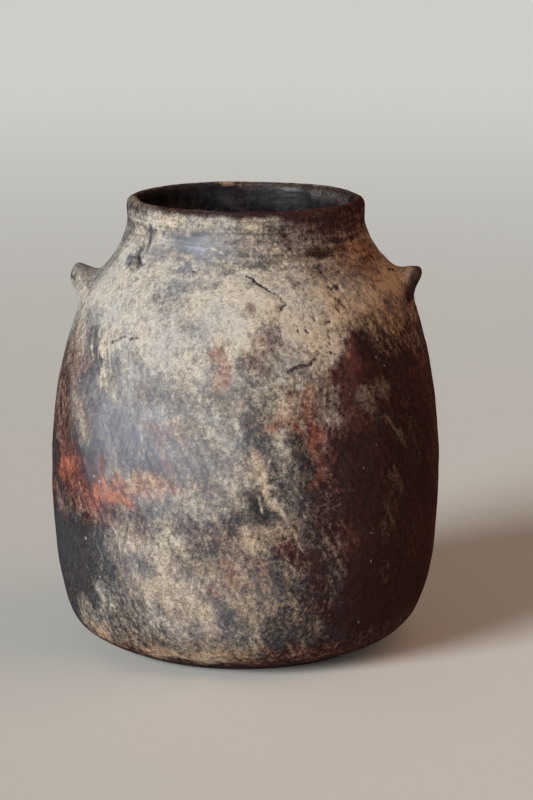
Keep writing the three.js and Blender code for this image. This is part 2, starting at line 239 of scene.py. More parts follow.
FIRE = (
    # The brown right side
    (40, 140, 42, 60, 24, 0.34), (40, 48, 42, 20, 18, 0.28), (72, 150, 72, 20, 36, 0.40),
    (25, 96, 25, 30, 12, 0.25),
    # The left
    (-75, 52, -46, 40, 14, 0.00), (-88, 112, -68, 98, 13, 0.46), (-70, 119, -64, 112, 6, 0.44),
    (-72, 90, -64, 86, 6, 0.50), (-63, 121, -60, 120, 4, 0.52), (-44, 100, -34, 92, 9, 0.02),
    (-84, 100, -80, 58, 6, 0.40),
    # The red and orange patches on the left
    (-67.5, 78, -59, 76, 5.8, 0.72), (-66.5, 79, -61, 79, 3.8, 0.86), (-64, 78, -61, 78, 3, 0.98),
    (-70, 73.6, -66, 74, 2.4, 0.84), (-60, 84, -57, 82, 4, 0.60), (-60, 74, -50, 72, 8, 0.60),
    (-60, 67, -54, 63, 5, 0.58), (-52, 72, -46, 66, 6, 0.66), (-76, 68, -67, 61, 5, 0.42),
    (-53, 82, -51, 78, 3, 0.36), (-46, 74, -41, 71, 4.4, 0.88), (-45, 85, -45, 78, 2.2, 0.74),
    (-39.5, 80, -39, 76, 2.2, 0.92), (-37, 79, -36.6, 77, 1.4, 0.92), (-36, 71, -32, 68.4, 2.2, 0.84),
    (-37, 76, -30, 76, 4.4, 0.88), (-30, 78, -20, 79, 4.4, 0.84), (-33, 81, -31, 78, 2, 0.82),
    (-24, 97, -22, 84, 3, 0.64), (-21, 103, -18, 98, 3.4, 0.68), (-29, 102, -25, 98, 3, 0.66),
    (-44, 64, -40, 60, 4, 0.42), (-33, 64, -28, 62, 4, 0.44), (-20, 66, -10, 60, 5, 0.34),
    (-16, 80, -8, 79, 1.2, 0.62),
    # Smears, stripes and patches on the front and the right
    (-10.5, 130, -7.5, 121, 6.4, 0.86), (-9, 129, -7.6, 121, 4, 0.90), (-14, 127, -12, 117, 4, 0.44),
    (5, 133, 4, 128, 6, 0.72), (1, 147, 2, 145, 2, 0.90), (5, 143, 12, 142, 3, 0.44),
    (-17, 115, -13, 111, 4, 0.44), (17, 140, 19, 136, 2.4, 0.46), (23.5, 142, 25, 140, 2.4, 0.44),
    (8, 103, 11, 107, 4, 0.78), (13, 112, 14, 101, 4, 0.76), (17, 113, 18, 106, 3.4, 0.64),
    (21, 113, 20, 100, 4.4, 0.70), (21, 101, 21.5, 84, 3.2, 0.84), (24, 92, 26, 80, 5, 0.42),
    (0.4, 90, 1, 88, 1.4, 0.84), (3.4, 92, 4, 91, 1.2, 0.84), (24, 126, 28, 104, 8, 0.52),
    (28, 134, 34, 128, 5, 0.48), (33, 130, 37, 119, 7, 0.48), (33, 127, 36, 122, 4, 0.60),
    (30, 116, 34, 100, 6, 0.42), (-4, 84, 0, 82, 3, 0.50), (-6, 48, -3, 43, 3.4, 0.68),
    (-10, 40, -9, 38, 2.2, 0.64), (2, 50, 5, 46, 3, 0.50), (-5, 60, -1, 52, 5, 0.36),
    (12, 56, 14, 48, 5, 0.46), (24, 66, 30, 56, 7, 0.38), (54, 106, 78, 98, 9, 0.38),
    (62, 52, 82, 42, 10, 0.44), (60, 88, 78, 80, 8, 0.36), (48, 78, 52, 70, 6, 0.36),
    # The heel
    (-64, 7, 62, 7, 4, 0.40), (8, 12, 30, 11, 3, 0.38), (-34, 10, -32, 10, 3, 0.56),
    (-55, 12, -52, 12, 3, 0.60), (-20, 8, -16, 8, 3, 0.54),
    # The right of the shoulder and the neck
    (46, 158, 88, 160, 9, 0.62), (58, 150, 80, 149, 8, 0.62), (40, 144, 60, 140, 7, 0.48),
    (60, 140, 84, 140, 7, 0.56), (24, 172, 84, 172, 6, 0.40),
    # The brightest of the patches
    (-46, 74, -36, 70, 3.4, 0.94), (-39, 79, -32, 77, 3, 0.88),
    # The back
    (100, 92, 112, 60, 14, 0.46), (134, 102, 152, 94, 7, 0.68), (200, 112, 216, 100, 8, 0.70),
    (228, 60, 252, 66, 6, 0.80), (232, 70, 240, 74, 4, 0.96), (164, 60, 174, 50, 5, 0.56),
    (255, 110, 268, 96, 13, 0.46), (180, 160, 200, 154, 6, 0.40), (118, 30, 140, 20, 8, 0.40),
    # The lip
    (-180, 182, -70, 182, 3.6, 0.30), (90, 182, 180, 182, 3.6, 0.36), (-70, 182, -6, 182, 3.4, 0.48),
    (-6, 182, 88, 182, 4.0, 0.47),
)

# Where smoke browned the skin.

SOOT = (
    # The front
    (42, 130, 46, 121, 6, 0.76), (38, 119, 42, 117, 4, 0.60), (45, 124, 60, 122, 6, 0.44),
    (30, 163, 50, 164, 2.2, 0.60), (31, 162, 38, 163, 1.4, 0.72), (26, 173, 64, 174, 5, 0.30),
    (-70, 50, -52, 40, 12, 0.24), (-60, 57, -54, 52, 4, 0.42), (35, 92, 36, 70, 7, 0.34),
    (46, 38, 42, 18, 12, 0.34), (32, 40, 36, 20, 8, 0.30), (-59, 92, -57, 88, 3, 0.40),
    (-66, 98, -64, 90, 4, 0.44), (-9, 118, -5, 114, 4, 0.14), (4, 75, 5, 66, 4, 0.50),
    (20, 76, 24, 70, 6, 0.34), (10, 129, 11, 126, 3, 0.34), (44, 104, 48, 30, 20, 0.46),
    (64, 94, 68, 30, 22, 0.54), (-60, 4, 60, 4, 3, 0.40), (15, 96, 17, 84, 4, 0.36),
    (-42, 53, -38, 44, 5, 0.26),
    # The back
    (124, 72, 142, 44, 15, 0.56), (180, 132, 202, 120, 9, 0.42), (250, 110, 264, 90, 10, 0.42),
    (212, 42, 226, 24, 9, 0.40), (152, 30, 168, 18, 7, 0.36), (165, 168, 186, 172, 5, 0.46),
    (222, 134, 232, 128, 5, 0.56), (96, 126, 108, 118, 7, 0.40),
    # The lip
    (-56, 179.6, -6, 179, 1.8, 0.36), (-6, 179, 60, 178.6, 2.6, 0.48),
)

# Scratches, nicks and cracks in the clay.

SCARS = (
    # The gouge on the shoulder
    (0.9, 156.5, 3, 155.7, 0.5, 0.9), (1.6, 154.3, 4.4, 153.4, 0.4, 0.8), (3, 154.9, 8, 151.7, 0.6, 1.0),
    (5, 153, 8.4, 150.9, 0.4, 0.8), (8, 151.6, 12.4, 149.6, 0.5, 0.9),
    (12.4, 149.6, 14.4, 146.6, 0.5, 0.8), (14.6, 146.2, 11.5, 145, 0.6, 1.0),
    (14, 146.3, 12.2, 143.6, 0.5, 0.9), (9, 144, 13, 144.6, 0.6, 0.6),
    # The crease beside the right lug
    (77, 153, 84, 151.2, 0.7, 0.9),
    # Nicks on the right of the shoulder
    (33.2, 151.6, 35, 150.5, 0.7, 0.9), (36.4, 151.4, 37.8, 150.3, 0.8, 1.0),
    (36.6, 150.2, 38, 151.6, 0.6, 0.8), (37.4, 153.9, 38.4, 153.7, 0.6, 0.7),
    (34.4, 147.2, 37, 146.1, 0.6, 0.9), (35.4, 145.9, 37.6, 144.1, 0.6, 0.9),
    (33.4, 144.4, 34.4, 142.9, 0.5, 0.8), (40.4, 156, 42, 156.1, 0.7, 0.8),
    (28.4, 139.2, 29.6, 139.8, 0.8, 0.9), (24.2, 141.6, 24.4, 140.8, 0.7, 0.8),
    (17, 138.6, 17.8, 136.6, 1.0, 0.5), (20.4, 137.4, 21.4, 136.2, 0.5, 0.8),
    (28, 134.9, 28.4, 134, 0.7, 0.8), (42.4, 133.6, 46.4, 131.4, 1.0, 0.6),
    (51, 134, 51.2, 131, 1.1, 0.7), (51.6, 132.4, 54.8, 130, 0.9, 0.8),
    (55.4, 136, 56.6, 135.6, 0.9, 0.6), (57, 128.6, 58.4, 128.4, 0.9, 0.6),
    # The crack on the belly and the nicks round it
    (13.4, 123, 17, 124.4, 0.9, 0.9), (17, 124.4, 20.6, 125, 1.0, 0.9),
    (20.6, 125, 22.4, 126.6, 0.9, 0.9), (23.2, 129.6, 23.6, 129.2, 0.4, 0.9),
    (24.6, 130.8, 25, 130.2, 0.4, 0.9), (26.8, 131.2, 27.2, 130.6, 0.4, 0.9),
    (22.4, 131.4, 22.9, 131, 0.4, 0.8), (21, 129.2, 21.6, 128.8, 0.4, 0.8),
    (28, 132.4, 28.3, 131.6, 0.4, 0.9), (26, 133.6, 26.3, 133, 0.4, 0.8),
    (24.2, 134.4, 24.6, 134, 0.3, 0.8), (22.4, 127.6, 24, 128.4, 0.5, 0.7),
    (24.6, 127.4, 27, 127.2, 0.6, 0.7), (26.4, 129, 29.4, 128, 0.7, 0.7),
    (7.6, 123.6, 7.2, 121, 0.9, 0.8), (7, 120.4, 7.6, 119.4, 0.7, 0.7),
    (9.6, 122.4, 10.4, 121.4, 0.7, 0.6),
    # Marks on the left of the neck
    (-61.5, 159.4, -57, 160, 0.7, 0.8), (-59, 158.4, -58.4, 157, 0.6, 0.8),
    (-56, 163.4, -55, 160, 0.9, 0.7), (-55, 160, -50.6, 157.4, 0.9, 0.9),
    (-54, 157.6, -51, 156.2, 0.7, 0.8), (-56, 168.4, -55.4, 164, 0.6, 0.6),
    (-52, 172, -51.4, 171, 0.9, 0.6), (-52, 169.4, -50.2, 165.4, 0.8, 0.8),
    (-66, 156.4, -62.4, 154.6, 0.5, 0.6),
    # Marks and streaks on the left of the belly
    (-44.8, 131.6, -42.8, 132.8, 0.9, 0.8), (-48, 129.4, -45, 131, 0.7, 0.8),
    (-40.4, 131.6, -36.8, 133, 0.7, 0.7), (-52, 134.6, -49, 124, 0.7, 0.5),
    (-50, 133, -45, 112, 0.6, 0.45), (-48, 130, -43.6, 108, 0.6, 0.4), (-55, 133, -54, 130, 0.9, 0.5),
    (-46, 124, -44, 114, 0.6, 0.35), (-43, 124.6, -42.4, 121, 1.0, 0.45), (-38, 99, -35.6, 91, 0.5, 0.3),
    (-60, 130, -57.4, 127.6, 0.8, 0.5), (-57, 126, -53, 121, 0.8, 0.4),
    # Scratches down the middle of the front
    (-10.6, 37, -6.4, 28, 0.5, 0.6), (-6.4, 28, -4.4, 22, 0.5, 0.6), (-7, 23.8, -6.2, 23.4, 0.8, 0.7),
    (-7, 19.8, -6.4, 19.6, 0.8, 0.7), (-0.6, 18.6, 0.8, 18.4, 0.9, 0.8), (-3, 37, -1.4, 35, 0.6, 0.6),
    (-2, 57, 0.6, 52, 0.5, 0.6), (8, 88, 9.6, 84, 0.7, 0.7), (4.4, 75, 4.8, 70.6, 0.5, 0.4),
    (12, 33, 11.4, 24, 0.6, 0.6), (6.4, 48, 9.6, 40, 0.8, 0.6), (9.6, 46, 12.4, 40, 0.8, 0.6),
    (8.4, 40, 9.4, 35, 0.7, 0.6), (11, 39.6, 11.8, 36.6, 0.8, 0.6), (12.4, 24, 11.8, 21.4, 0.6, 0.6),
    # The rest of the front
    (2, 110, 3.4, 107, 0.5, 0.5), (30, 109, 38, 108.6, 0.8, 0.6), (30, 113, 34, 111, 0.6, 0.6),
    (39, 109, 41, 107, 0.8, 0.7), (38.4, 58.6, 39.4, 57, 0.9, 0.7), (36, 23.4, 37.4, 22.4, 0.9, 0.7),
    (-23, 157.4, -21, 157.2, 0.6, 0.7), (-27, 158.4, -24, 158.2, 0.4, 0.5),
    (-31.4, 157.4, -28.6, 154.4, 0.7, 0.5), (-33, 145.8, -35.6, 147.4, 0.4, 0.5),
    (-60, 77, -59, 74, 1.0, 0.3), (-17.4, 20.4, -16.4, 19.6, 0.9, 0.6),
    # The back
    (130, 140, 136, 134, 1.0, 0.8), (136, 134, 139, 126, 0.8, 0.7), (171, 120, 176, 108, 0.9, 0.7),
    (186, 152, 194, 150, 0.8, 0.8), (194, 150, 197, 146, 0.7, 0.8), (208, 90, 212, 76, 0.8, 0.6),
    (236, 128, 244, 124, 1.0, 0.7), (150, 52, 154, 42, 0.8, 0.7), (222, 52, 224, 40, 0.7, 0.6),
    (102, 82, 105, 72, 0.9, 0.6), (160, 158, 168, 157, 0.6, 0.6), (246, 76, 250, 72, 0.8, 0.7),
)

# Where the burnished skin gleams under its coat, and where the painted reflection of the window is laid into
# its colour.

POLISH = (
    (-40, 168, -8, 168, 5, 0.35), (-26, 164.8, -20, 164.9, 1.4, 1.00), (-36, 151, -10, 152, 8, 0.20),
    (-55, 104, -15, 92, 12, 0.40), (-31, 106, -27, 106, 2.2, 0.95), (-48, 76, -24, 80, 6, 0.35),
    (-64, 46, -44, 46, 12, 0.08), (-12, 116, -4, 84, 8, 0.25), (120, 90, 160, 60, 20, 0.35),
    (-170, 120, -130, 100, 16, 0.35), (200, 60, 230, 40, 14, 0.35), (138, 174, 176, 174.6, 4, 0.80),
)

# Where the flame warmed the dust.

TAN = (
    (48, 152, 90, 152, 14, 0.90), (46, 160, 90, 162, 8, 0.90), (36, 146, 60, 140, 9, 0.65),
    (26, 158, 44, 152, 6, 0.30), (-34, 50, -12, 26, 13, 0.22), (-98, 150, -82, 150, 8, 0.08),
    (14, 140, 28, 131, 8, 0.28), (-10.5, 130, -7.5, 121, 5, 0.08), (-34, 79, -25, 77, 4, 0.35),
    (-44, 76, -38, 71, 4, 0.60), (0, 60, 12, 62, 6, 0.40), (3, 90, 10, 68, 4, 0.30),
    (44, 112, 50, 60, 12, 0.60), (56, 124, 74, 90, 14, 0.80), (42, 60, 46, 38, 8, 0.60),
    (-6, 50, 12, 28, 12, 0.42), (-60, 12, 62, 10, 6, 0.55), (-70, 126, -58, 96, 9, 0.30),
    (186, 180, 196, 180, 3, 0.90), (90, 152, 130, 150, 16, 0.55), (190, 120, 230, 90, 20, 0.35),
)

# Light marks where the dust was rubbed into a scratch.

CHALK = (
    (-15, 166, -9.4, 164.2, 0.4, 0.8), (7, 90, 5, 83, 0.4, 0.7), (2.4, 80, 6.6, 87.6, 0.6, 0.5),
    (8, 75, 11.4, 67.6, 0.7, 0.6), (4, 76, 4.8, 70, 0.4, 0.8), (-54.6, 135, -46.8, 114, 0.45, 0.75),
    (-51.4, 134, -45.6, 119, 0.4, 0.65), (-56, 131, -52.6, 122, 0.35, 0.5), (46, 102, 52, 91, 0.4, 0.12),
    (-31, 98, -29.6, 88, 0.4, 0.4), (-12, 62, -10.4, 55, 0.4, 0.4), (14, 61, 16.4, 54, 0.4, 0.4),
    (-41, 60, -38.6, 52, 0.4, 0.4), (140, 96, 144, 84, 0.5, 0.5), (192, 128, 196, 118, 0.5, 0.5),
    (228, 88, 231, 77, 0.5, 0.5),
)

# Where lime popped out of the clay: azimuth, height and radius in millimetres.

LIME = (
    # The front
    (-54, 52, 0.9), (-48, 38, 0.8), (-26, 69.6, 0.9), (-61, 112.6, 0.8), (-7, 116, 0.5), (24, 110.4, 0.7),
    (-49, 78, 0.8), (-46.6, 76.6, 0.9), (19, 107.4, 0.5), (45, 124.6, 0.6), (-19.4, 115, 0.5),
    (38.6, 115, 0.5), (48, 121, 0.5), (37.4, 21.6, 0.6), (-26, 77, 1.0), (16, 111.4, 0.5),
    (39.2, 46.6, 0.6), (-19.6, 66.2, 0.5), (18.8, 131.8, 0.5), (-41, 81, 0.6), (-38.4, 82.6, 0.5),
    (-44, 79.2, 0.5), (-28.6, 82, 0.5), (-12.4, 80.4, 0.5), (-16, 81, 0.5), (-33, 71, 0.5),
    (-21.4, 74, 0.5), (-5, 92, 0.5), (2, 93, 0.5), (21.6, 116, 0.4), (11, 111, 0.4), (26, 109.6, 0.4),
    (32, 101, 0.4), (41, 92, 0.4), (36, 84, 0.4), (-56.6, 73.6, 0.5), (-62, 107.4, 0.5), (39, 57.8, 0.5),
    (-17.4, 71, 0.6),
    # The back
    (104, 98, 0.7), (118, 64, 0.6), (133, 122, 0.5), (146, 78, 0.9), (158, 136, 0.5), (171, 96, 0.6),
    (183, 62, 0.8), (197, 118, 0.5), (209, 54, 0.6), (221, 92, 0.8), (238, 104, 0.5), (251, 58, 0.7),
    (262, 84, 0.5),
)

# The one large pop on the belly, whose middle stands up again.

CRATER = (16.4, 116.8, 2.0)

# The washes with the level of the bare skin under their strokes.

WASHES = {
    "dust": (DUST, 0.04), "tan": (TAN, 0), "haze_and_painted_shine": (HAZE_AND_PAINTED_SHINE, 0), "fire": (FIRE, 0.06), "soot": (SOOT, 0),
    "polish": (POLISH, 0),
}

# How far from its line a stroke still shows, as a share of its reach.

WASH_EDGE = 1.7
MARK_EDGE = 1.5

# How deep scars, lime pops, the crater and fine scratches are cut, and how far the crater's middle
# stands up again, in millimetres.

SCAR_DEPTH = 0.35
POP_DEPTH = 0.25
CRATER_DEPTH = 0.9
CRATER_HEART = 0.5
STONE_DEPTH = 0.06

# How many fine scratches the burnishing stone left, the seed that lays them out, and the wall's mean
# radius in millimetres, by which their slant becomes an angle.

SCRATCHES = 420
SCRATCH_SEED = 11
MEAN_RADIUS = 70

# Between these heights the strokes turn from leaning to level.

NECK = (148 * MM, 160 * MM)


class Graph:
    """Wires a node tree with short calls. An input is a socket, a number, a vector or a colour."""

    def __init__(self, tree):
        self.tree = tree

    def node(self, kind, inputs=None, **settings):
        node = self.tree.nodes.new(kind)
        for name, value in settings.items():
            setattr(node, name, value)
        for name, value in (inputs or {}).items():
            if isinstance(value, bpy.types.NodeSocket):
                self.tree.links.new(value, node.inputs[name])
            else:
                node.inputs[name].default_value = value
        return node

    def math(self, operation, a, b=0.0, clamp=False):
        return self.node("ShaderNodeMath", {0: a, 1: b}, operation=operation, use_clamp=clamp).outputs[0]

    def add(self, *values):
        total = values[0]
        for value in values[1:]:
            total = self.math("ADD", total, value)
        return total

    def times(self, a, b):
        return self.math("MULTIPLY", a, b)

    def vector(self, operation, a, b):
        return self.node("ShaderNodeVectorMath", {0: a, 1: b}, operation=operation).outputs[0]

    def swing(self, noise, reach):
        """Noise turned into a value that swings about 0, mostly by reach."""
        return self.times(self.math("SUBTRACT", noise, 0.5), 4 * reach)

    def varied(self, value, *noises):
        """A value that swings with some noises, each given with its reach."""
        return self.add(value, *(self.swing(noise, reach) for noise, reach in noises))

    def alike(self, value):
        """A vector whose three parts are all the same value."""
        return self.node("ShaderNodeCombineXYZ", {0: value, 1: value, 2: value}).outputs[0]

    def part(self, vector, axis):
        return self.node("ShaderNodeSeparateXYZ", {0: vector}).outputs[axis]

    def span(self, value, low, high, at_low=0.0, at_high=1.0):
        """A smooth step from one value to the other between low and high."""
        limits = {"Value": value, "From Min": low, "From Max": high, "To Min": at_low, "To Max": at_high}
        return self.node("ShaderNodeMapRange", limits, interpolation_type="SMOOTHSTEP").outputs[0]

    def mix(self, share, a, b):
        return self.node("ShaderNodeMix", {0: share, 6: a, 7: b}, data_type="RGBA").outputs[2]

    def blend(self, share, a, b):
        return self.node("ShaderNodeMix", {0: share, 2: a, 3: b}, data_type="FLOAT").outputs[0]

    def noise(self, place, size, detail=2.0, rough=0.5):
        """Noise whose blobs are about size across."""
        inputs = {"Vector": place, "Scale": 1 / size, "Detail": detail, "Roughness": rough}
        return self.node("ShaderNodeTexNoise", inputs)

    def drawn_out(self, place, across, along, twist):
        """Noise drawn out into upright strokes, which lean by twist radians for each metre of height."""
        turn = {"Vector": place, "Angle": self.times(self.part(place, "Z"), twist)}
        turned = self.node("ShaderNodeVectorRotate", turn, rotation_type="Z_AXIS").outputs[0]
        drawn = self.vector("MULTIPLY", turned, (1 / across, 1 / across, 1 / along))
        return self.noise(drawn, 1.0, 3.0, 0.55).outputs[0]

    def wiped(self, place, across, along):
        """Noise drawn out into level strokes, as a wet hand leaves them round the neck."""
        drawn = self.vector("MULTIPLY", place, (1 / along, 1 / along, 1 / across))
        return self.noise(drawn, 1.0, 3.0, 0.55).outputs[0]


def new_group(name, kind, inputs, outputs):
    """A node group with its sockets, and its input and output nodes."""
    tree = bpy.data.node_groups.new(name, kind)
    for direction, sockets in (("INPUT", inputs), ("OUTPUT", outputs)):
        for socket, socket_kind in sockets:
            tree.interface.new_socket(socket, in_out=direction, socket_type=socket_kind)
    graph = Graph(tree)
    return graph, graph.node("NodeGroupInput"), graph.node("NodeGroupOutput")


def deselect_all():
    bpy.ops.object.select_all(action="DESELECT")


def activate(piece):
    deselect_all()
    piece.select_set(True)
    bpy.context.view_layer.objects.active = piece


def select_open_edges():
    bpy.ops.mesh.select_mode(type="EDGE")
    bpy.ops.mesh.select_all(action="DESELECT")
    bpy.ops.mesh.select_non_manifold()


def apply_modifier(piece, name, kind, **settings):
    activate(piece)
    modifier = piece.modifiers.new(name, kind)
    for key, value in settings.items():
        setattr(modifier, key, value)
    bpy.ops.object.modifier_apply(modifier=modifier.name)


def read(rows, key, width=1, kind=np.float32):
    """A number, or as many as width says, from each row of a mesh's data."""
    values = np.empty(len(rows) * width, kind)
    rows.foreach_get(key, values)
    return values.reshape(-1, width) if width > 1 else values


def points_of(mesh):
    return read(mesh.vertices, "co", 3)


def read_values(mesh, name):
    return read(mesh.attributes[name].data, "value")


def store_values(mesh, name, values, domain="POINT", kind="FLOAT"):
    attribute = mesh.attributes.get(name) or mesh.attributes.new(name, kind, domain)
    attribute.data.foreach_set("value", values)


def wall_tree():
    """A search tree over the CAD's wall pieces."""
    points, faces = [], []
    for name in WALL:
        mesh = frame["nodes"][name].data
        first = len(points)
        points += [v.co.copy() for v in mesh.vertices]
        faces += [[first + i for i in p.vertices] for p in mesh.polygons]
    return BVHTree.FromPolygons(points, faces)


# How far the pot's midline stands off its axis to the right: height and shift in millimetres.

LEAN = (
    (0, -1.6), (5, -2.1), (12, -1.7), (20, -1.0), (28, -0.5), (45, -0.3), (75, -0.1),
    (105, -0.2), (130, 0.3), (155, 0.7), (180, -0.1),
)

# Where the rings over the lip stand round the middle of its section, in degrees from level outside.

LIP_ANGLES = (28, 56, 90, 124, 152)

# How far the first ring of the underside lies inside the foot.

FOOT_INSET = 3 * MM


def leaning(height):
    heights, shifts = np.array(LEAN).T * MM
    return np.interp(height, heights, shifts)


class WallLines:
    """The wall's outer and inner radius by height, and where its joints are, read from the frame."""

    STEP = 0.5 * MM
    CLEAR = 0.13 * MM
    HALF_FACET = math.radians(3)

    def __init__(self):
        tree = wall_tree()
        self.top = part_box("rim")[1].z
        self.tops = np.array([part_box(name)[1].z for name in WALL])
        self.lows = np.array([0, *self.tops[:-1]])
        self.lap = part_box("base")[1].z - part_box(STRIPS[0])[0].z
        self.heights = np.arange(self.CLEAR, self.top - self.CLEAR, self.STEP)
        probe = Vector((math.sin(self.HALF_FACET), -math.cos(self.HALF_FACET), 0))
        self.outer = self.cast(tree, probe, -probe)
        self.inner = self.cast(tree, Vector(), probe)
        self.floor = tree.ray_cast(Vector((0, 0, self.top)), Vector((0, 0, -1)))[0].z

    def cast(self, tree, start, direction):
        radii = []
        for height in self.heights:
            hit = tree.ray_cast(start + Vector((0, 0, height)), direction)[0]
            radii.append(hit.xy.length if hit else 0)
        return np.array(radii)

    def outer_at(self, height):
        return np.interp(height, self.heights, self.outer)

    def inner_at(self, height):
        return np.interp(height, self.heights, self.inner)

    def is_inside(self, points):
        """Whether each point of the cage lies on the inner face."""
        radius = np.hypot(points[:, 0] - leaning(points[:, 2]), points[:, 1])
        middle = (self.outer_at(points[:, 2]) + self.inner_at(points[:, 2])) / 2
        return (radius < middle - MM) & (points[:, 2] > self.floor / 2)

    def bands(self, points, inside):
        """The number of the band that each point belongs to."""
        height = points[:, 2] + np.where(inside, self.lap, 0)
        return np.minimum(np.searchsorted(self.tops, height), len(WALL) - 1)


def spaced(radius_at, low, high, spacing):
    """Rings (radius, height) spaced evenly along a line of the wall, from low to high, both included."""
    heights = np.linspace(low, high, 200)
    radii = radius_at(heights)
    along = np.concatenate([[0], np.cumsum(np.hypot(np.diff(radii), np.diff(heights)))])
    rows = max(1, round(along[-1] / spacing))
    at = np.interp(np.linspace(0, along[-1], rows + 1), along, heights)
    return [(float(radius_at(z)), float(z)) for z in at]


def lip_rings(lines, rounding):
    """Rings over the lip, from its outer to its inner side, on rays from the middle of its section."""
    spring = lines.top - rounding
    outer, inner = lines.outer_at(spring), lines.inner_at(spring)
    middle, reach = (outer + inner) / 2, (outer - inner) / 2
    return [(middle + reach * math.cos(angle), spring + rounding * math.sin(angle))
            for angle in np.radians(LIP_ANGLES)]


def wall_rings(lines, shape):
    """Every ring of the wall's cage after the underside, as (radius, height), up outside and down inside."""
    spring = lines.top - shape.lip_round

    def swollen(height):
        return lines.outer_at(height) + shape.swell * np.sin(math.pi * height / lines.top)

    rings = []
    for name, low, top in zip(WALL, lines.lows, lines.tops):
        spacing = shape.heel_row if name == "base" else shape.outer_row
        rings += spaced(swollen, low, min(top, spring), spacing)[1:]
    rings += lip_rings(lines, shape.lip_round)
    high = spring
    for name, low in reversed(list(zip(WALL, lines.lows))):
        foot = max(low - lines.lap, lines.floor)
        spacing = shape.mouth_row if name in ("rim", "neck") else shape.inner_row
        down = spaced(lines.inner_at, foot, high, spacing)[::-1]
        rings += down if name == "rim" else down[1:]
        high = foot
    return rings


def raise_wall(lines, shape):
    """The wall's cage, extruded ring by ring from the underside over the lip to the floor."""
    foot = float(lines.outer_at(0))
    inset = foot - FOOT_INSET
    deselect_all()
    bpy.ops.mesh.primitive_circle_add(vertices=shape.sides, radius=inset, fill_type="TRIFAN")
    wall = bpy.context.object
    bpy.ops.object.mode_set(mode="EDIT")
    bpy.ops.transform.translate(value=(leaning(0), 0, 0))
    select_open_edges()
    radius, height = inset, 0
    rings = [(foot, 0), *wall_rings(lines, shape), (shape.floor_round, lines.floor)]
    for next_radius, next_height in rings:
        step = (leaning(next_height) - leaning(height), 0, next_height - height)
        bpy.ops.mesh.extrude_region_move(TRANSFORM_OT_translate={"value": step})
        scale = next_radius / radius
        middle = (leaning(next_height), 0, next_height)
        bpy.ops.transform.resize(value=(scale, scale, 1), center_override=middle)
        radius, height = next_radius, next_height
    bpy.ops.mesh.extrude_region_move()
    bpy.ops.mesh.merge(type="CENTER")
    bpy.ops.mesh.select_all(action="SELECT")
    bpy.ops.mesh.normals_make_consistent(inside=False)
    bpy.ops.object.mode_set(mode="OBJECT")
    wall.name = "wall_sheet"
    return wall


def mark_bands(wall, lines):
    """Notes on the cage which points are inside and which band each face belongs to."""
    mesh = wall.data
    store_values(mesh, "inside", lines.is_inside(points_of(mesh)).astype(np.float32))
    centres = read(mesh.polygons, "center", 3)
    bands = lines.bands(centres, lines.is_inside(centres))
    store_values(mesh, "band", bands.astype(np.int32), "FACE", "INT")


def subdivide(piece, levels):
    apply_modifier(piece, "smooth clay", "SUBSURF", levels=levels, render_levels=levels)


def strokes_at(points, strokes, ground):
    """What layers of soft strokes leave at each point: each one covers those before it."""
    cover = np.full(len(points), float(ground))
    for near, distance, level in stroke_reaches(points, strokes, WASH_EDGE):
        cover[near] += (level - cover[near]) * smooth(1 - distance / WASH_EDGE)
    return cover


def marks_at(points, strokes):
    """How strongly each point is marked by crisp strokes."""
    cover = np.zeros(len(points))
    for near, distance, level in stroke_reaches(points, strokes, MARK_EDGE):
        cover[near] = np.maximum(cover[near], level * smooth(MARK_EDGE - distance))
    return cover


def smooth(share):
    share = np.clip(share, 0, 1)
    return share * share * (3 - 2 * share)


def stroke_reaches(points, strokes, margin):
    """For each stroke the points near it, their distance from its line in reaches, and its level."""
    azimuth = np.degrees(np.arctan2(points[:, 0], -points[:, 1]))
    height = points[:, 2] / MM
    radius = np.hypot(points[:, 0], points[:, 1]) / MM
    for start, low, end, high, reach, level in strokes:
        slack = margin * reach
        near = np.flatnonzero((height > min(low, high) - slack) & (height < max(low, high) + slack))
        east = np.radians((azimuth[near] - start + 180) % 360 - 180) * radius[near]
        along = np.radians(end - start) * radius[near]
        north, rise = height[near] - low, high - low
        share = np.clip((east * along + north * rise) / (along ** 2 + rise ** 2 + 1e-6), 0, 1)
        yield near, np.hypot(east - share * along, north - share * rise) / reach, level


def lime_strokes(spots, reach=1.0):
    return [(azimuth, height, azimuth, height, radius * reach, 1.0) for azimuth, height, radius in spots]


def scratches(seed, count):
    """Fine scratches left by the burnishing stone all over the wall."""
    draw = np.random.default_rng(seed)
    strokes = []
    for _ in range(count):
        azimuth, height = draw.uniform(-180, 180), draw.uniform(12, 172)
        run = draw.uniform(4, 22)
        slope = draw.choice((-1, 1, 1)) * draw.uniform(0.1, 0.9)
        turn = math.degrees(run * slope / MEAN_RADIUS)
        reach, level = draw.uniform(0.25, 0.5), draw.uniform(0.3, 0.9)
        strokes.append((azimuth, height, azimuth + turn, height - run, reach, level))
    return strokes


def mark_cuts(wall):
    """Notes how deep each point of the sheet is cut by scars, lime pops and the stone."""
    points = points_of(wall.data)
    outside = 1 - read_values(wall.data, "inside")
    scars = marks_at(points, SCARS)
    pops = marks_at(points, lime_strokes(LIME))
    crater = marks_at(points, lime_strokes([CRATER]))
    heart = marks_at(points, lime_strokes([CRATER], 0.6))
    stone = marks_at(points, scratches(SCRATCH_SEED, SCRATCHES))
    depth = SCAR_DEPTH * scars + POP_DEPTH * pops + CRATER_DEPTH * crater
    depth = depth - CRATER_HEART * heart + STONE_DEPTH * stone
    store_values(wall.data, "cut", (depth * outside * MM).astype(np.float32))


